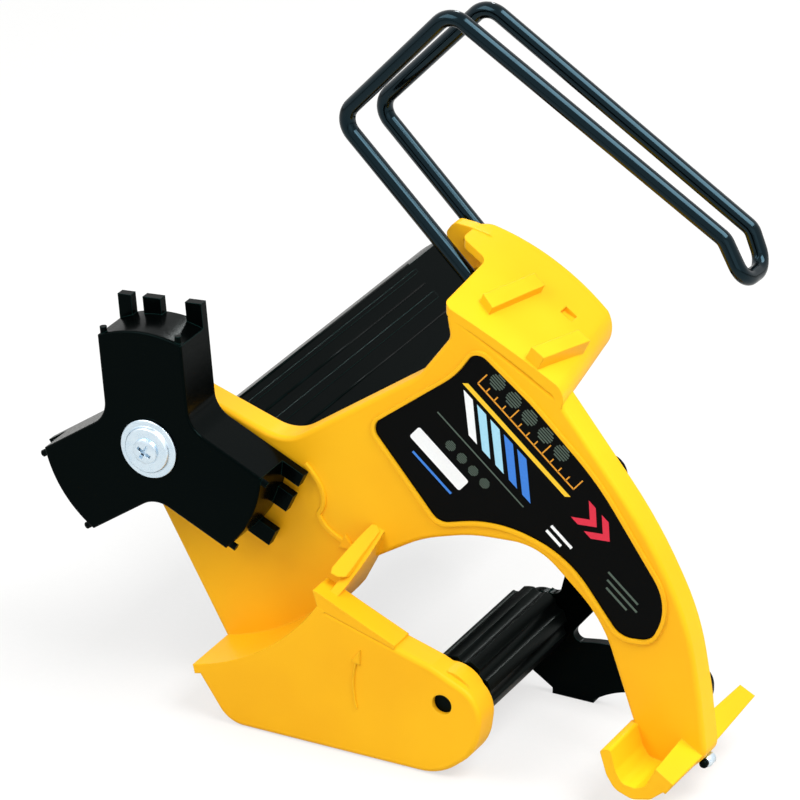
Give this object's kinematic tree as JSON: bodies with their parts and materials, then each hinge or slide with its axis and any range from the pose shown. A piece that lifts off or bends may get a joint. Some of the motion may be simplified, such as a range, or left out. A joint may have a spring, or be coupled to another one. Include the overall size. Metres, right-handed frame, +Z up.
{
  "type": "masking paper dispenser",
  "caption": "Hand-held masking paper dispenser: moulded frame with handle, tape hub in front, long paper mandrel behind, hinged wire bail and fluted applicator roller.",
  "frame": {"origin": "on the lobe's flat underside, in the plane of the frame plate's front face", "axes": "+X to the right along the plate, +Y away from the user's side along the hub axes, +Z up"},
  "size_m": [0.2213, 0.1725, 0.2237],
  "materials": {
    "yellow_abs": "moulded, satin",
    "label_film": "printed film",
    "black_nylon": "moulded, semi-gloss",
    "white_acetal": "moulded",
    "zinc_steel": "zinc plated",
    "spring_steel": "bright",
    "brass": "turned",
    "black_wire": "black oxide, oiled",
    "black_rubber": "moulded"
  },
  "bodies": {
    "frame": {"bail_bushes": "white_acetal", "bracket_screws": "zinc_steel", "bracket_washers": "zinc_steel", "foot_bumper": "black_rubber", "foot_screw": "zinc_steel", "frame": "yellow_abs", "label_panel": "label_film", "paper_hub_screw": "zinc_steel", "paper_hub_washer": "zinc_steel", "paper_insert": "brass", "paper_spindle": "white_acetal", "rear_bracket": "black_nylon", "tape_hub_screw": "zinc_steel", "tape_hub_spring": "spring_steel", "tape_hub_washer": "zinc_steel", "tape_insert": "brass", "tape_spindle": "white_acetal"},
    "tape_hub": {"tape_hub": "black_nylon"},
    "paper_hub": {"paper_hub": "black_nylon"},
    "roll_bail": {"roll_bail": "black_wire"},
    "applicator_roller": {"applicator_roller": "black_rubber", "roller_clip": "spring_steel"}
  },
  "joints": [
    {"name": "tape_hub_spin", "type": "hinge", "parent": "frame", "child": "tape_hub", "pos_m": [-0.09, -0.01, 0.0856], "axis": [0, 1, 0], "continuous": true},
    {"name": "paper_hub_spin", "type": "hinge", "parent": "frame", "child": "paper_hub", "pos_m": [-0.0592, 0.03, 0.0572], "axis": [0, 1, 0], "continuous": true},
    {"name": "bail_swing", "type": "hinge", "parent": "frame", "child": "roll_bail", "pos_m": [-0.003, 0.0395, 0.1366], "axis": [0, -1, 0], "range_deg": [0, 42]},
    {"name": "roller_spin", "type": "hinge", "parent": "frame", "child": "applicator_roller", "pos_m": [0.011, 0.015, 0.0246], "axis": [0, 1, 0], "continuous": true}
  ]
}
